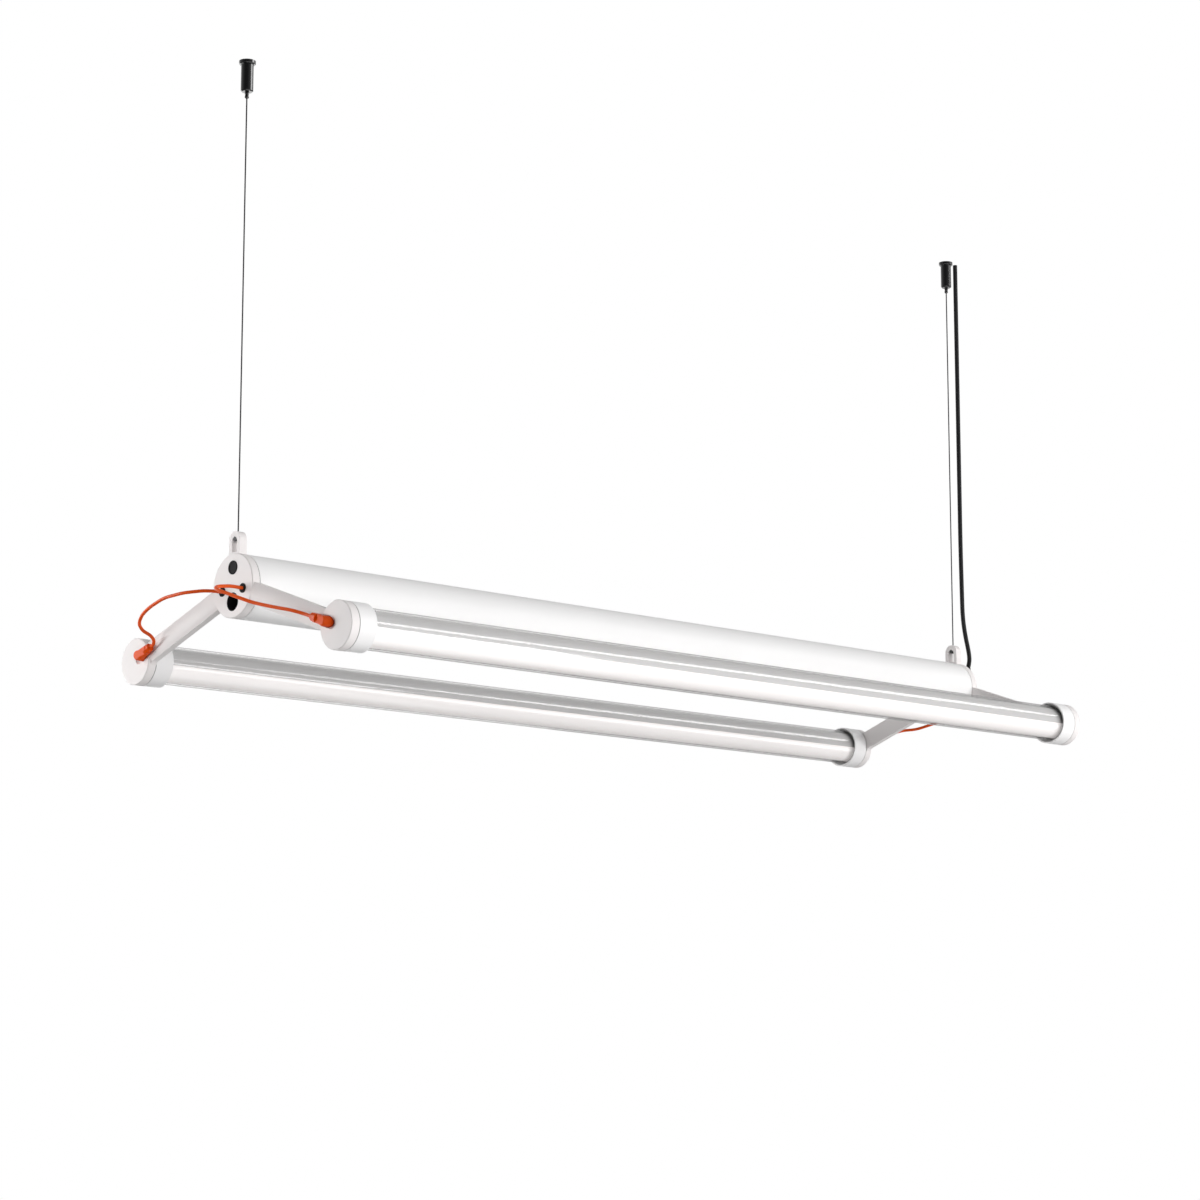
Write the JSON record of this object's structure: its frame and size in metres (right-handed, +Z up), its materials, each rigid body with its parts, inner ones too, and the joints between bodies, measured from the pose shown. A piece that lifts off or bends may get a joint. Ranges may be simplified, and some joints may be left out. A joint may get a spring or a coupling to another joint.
{
  "type": "hanging shop light",
  "caption": "Linear workshop pendant: a round main tube between winged brackets, a sealed light tube at each wing tip, steel suspension cables and a power cord.",
  "frame": {"origin": "on the ceiling plane, midway between the two ceiling fixings", "axes": "+X along the lamp towards the end with the power cord, +Y towards the rear light tube, +Z up into the ceiling"},
  "size_m": [1.3028, 0.4174, 0.6912],
  "materials": {
    "grip_black": "gloss black",
    "spring_steel": "bright spring wire",
    "ball_steel": "polished",
    "cable_steel": "dark stranded steel",
    "tube_white": "satin white",
    "bracket_white": "fine matt off-white",
    "seal_rubber": "matt black",
    "well_black": "black",
    "bolt_steel": "zinc plated",
    "tray_steel": "galvanised",
    "driver_case": "matt white",
    "terminal_plastic": "ivory",
    "cord_black": "satin black",
    "clear_plastic": "clear gloss",
    "heat_sink_metal": "satin anodised",
    "board_white": "white solder mask",
    "led_yellow": "phosphor",
    "diffuser_opal": "opal",
    "collar_white": "satin white",
    "ring_rubber": "matt dark grey",
    "plug_orange": "gloss orange",
    "lead_orange": "satin orange jacket"
  },
  "bodies": {
    "ceiling_grips": {"left_ceiling_cap": "grip_black", "right_ceiling_cap": "grip_black", "left_gripper_barrel": "grip_black", "right_gripper_barrel": "grip_black", "left_grip_spring": "spring_steel", "right_grip_spring": "spring_steel"},
    "left_release": {"left_plunger": "grip_black", "left_grip_balls": "ball_steel"},
    "right_release": {"right_plunger": "grip_black", "right_grip_balls": "ball_steel"},
    "lamp": {"left_cable": "cable_steel", "right_cable": "cable_steel", "left_cable_end": "cable_steel", "right_cable_end": "cable_steel", "main_tube": "tube_white", "left_bracket": "bracket_white", "right_bracket": "bracket_white", "bracket_seals": "seal_rubber", "lead_grommets": "seal_rubber", "plug_seals": "seal_rubber", "cord_boot": "seal_rubber", "well_sleeves": "well_black", "blank_plug": "well_black", "plug_sockets": "well_black", "bracket_bolts": "bolt_steel", "gear_tray": "tray_steel", "front_driver": "driver_case", "rear_driver": "driver_case", "terminal_block": "terminal_plastic", "power_cord": "cord_black", "front_clear_tube": "clear_plastic", "rear_clear_tube": "clear_plastic", "front_heat_sink": "heat_sink_metal", "rear_heat_sink": "heat_sink_metal", "front_led_board": "board_white", "rear_led_board": "board_white", "front_leds": "led_yellow", "rear_leds": "led_yellow", "front_diffuser": "diffuser_opal", "rear_diffuser": "diffuser_opal", "left_front_collar": "collar_white", "left_rear_collar": "collar_white", "right_front_collar": "collar_white", "right_rear_collar": "collar_white", "tube_seals": "ring_rubber", "left_front_plug": "plug_orange", "left_rear_plug": "plug_orange", "right_front_plug": "plug_orange", "right_rear_plug": "plug_orange", "left_front_lead": "lead_orange", "left_rear_lead": "lead_orange", "right_front_lead": "lead_orange", "right_rear_lead": "lead_orange"}
  },
  "joints": [
    {"name": "height_adjust", "type": "slide", "parent": "ceiling_grips", "child": "lamp", "axis": [0, 0, 1], "range_m": [0, 0.25]},
    {"name": "left_release_press", "type": "slide", "parent": "ceiling_grips", "child": "left_release", "axis": [0, 0, 1], "range_m": [0, 0.003], "stiffness_N_per_m": 800, "springref_m": -0.003, "deforming": ["left_grip_spring"]},
    {"name": "right_release_press", "type": "slide", "parent": "ceiling_grips", "child": "right_release", "axis": [0, 0, 1], "range_m": [0, 0.003], "stiffness_N_per_m": 800, "springref_m": -0.003, "deforming": ["right_grip_spring"]}
  ]
}
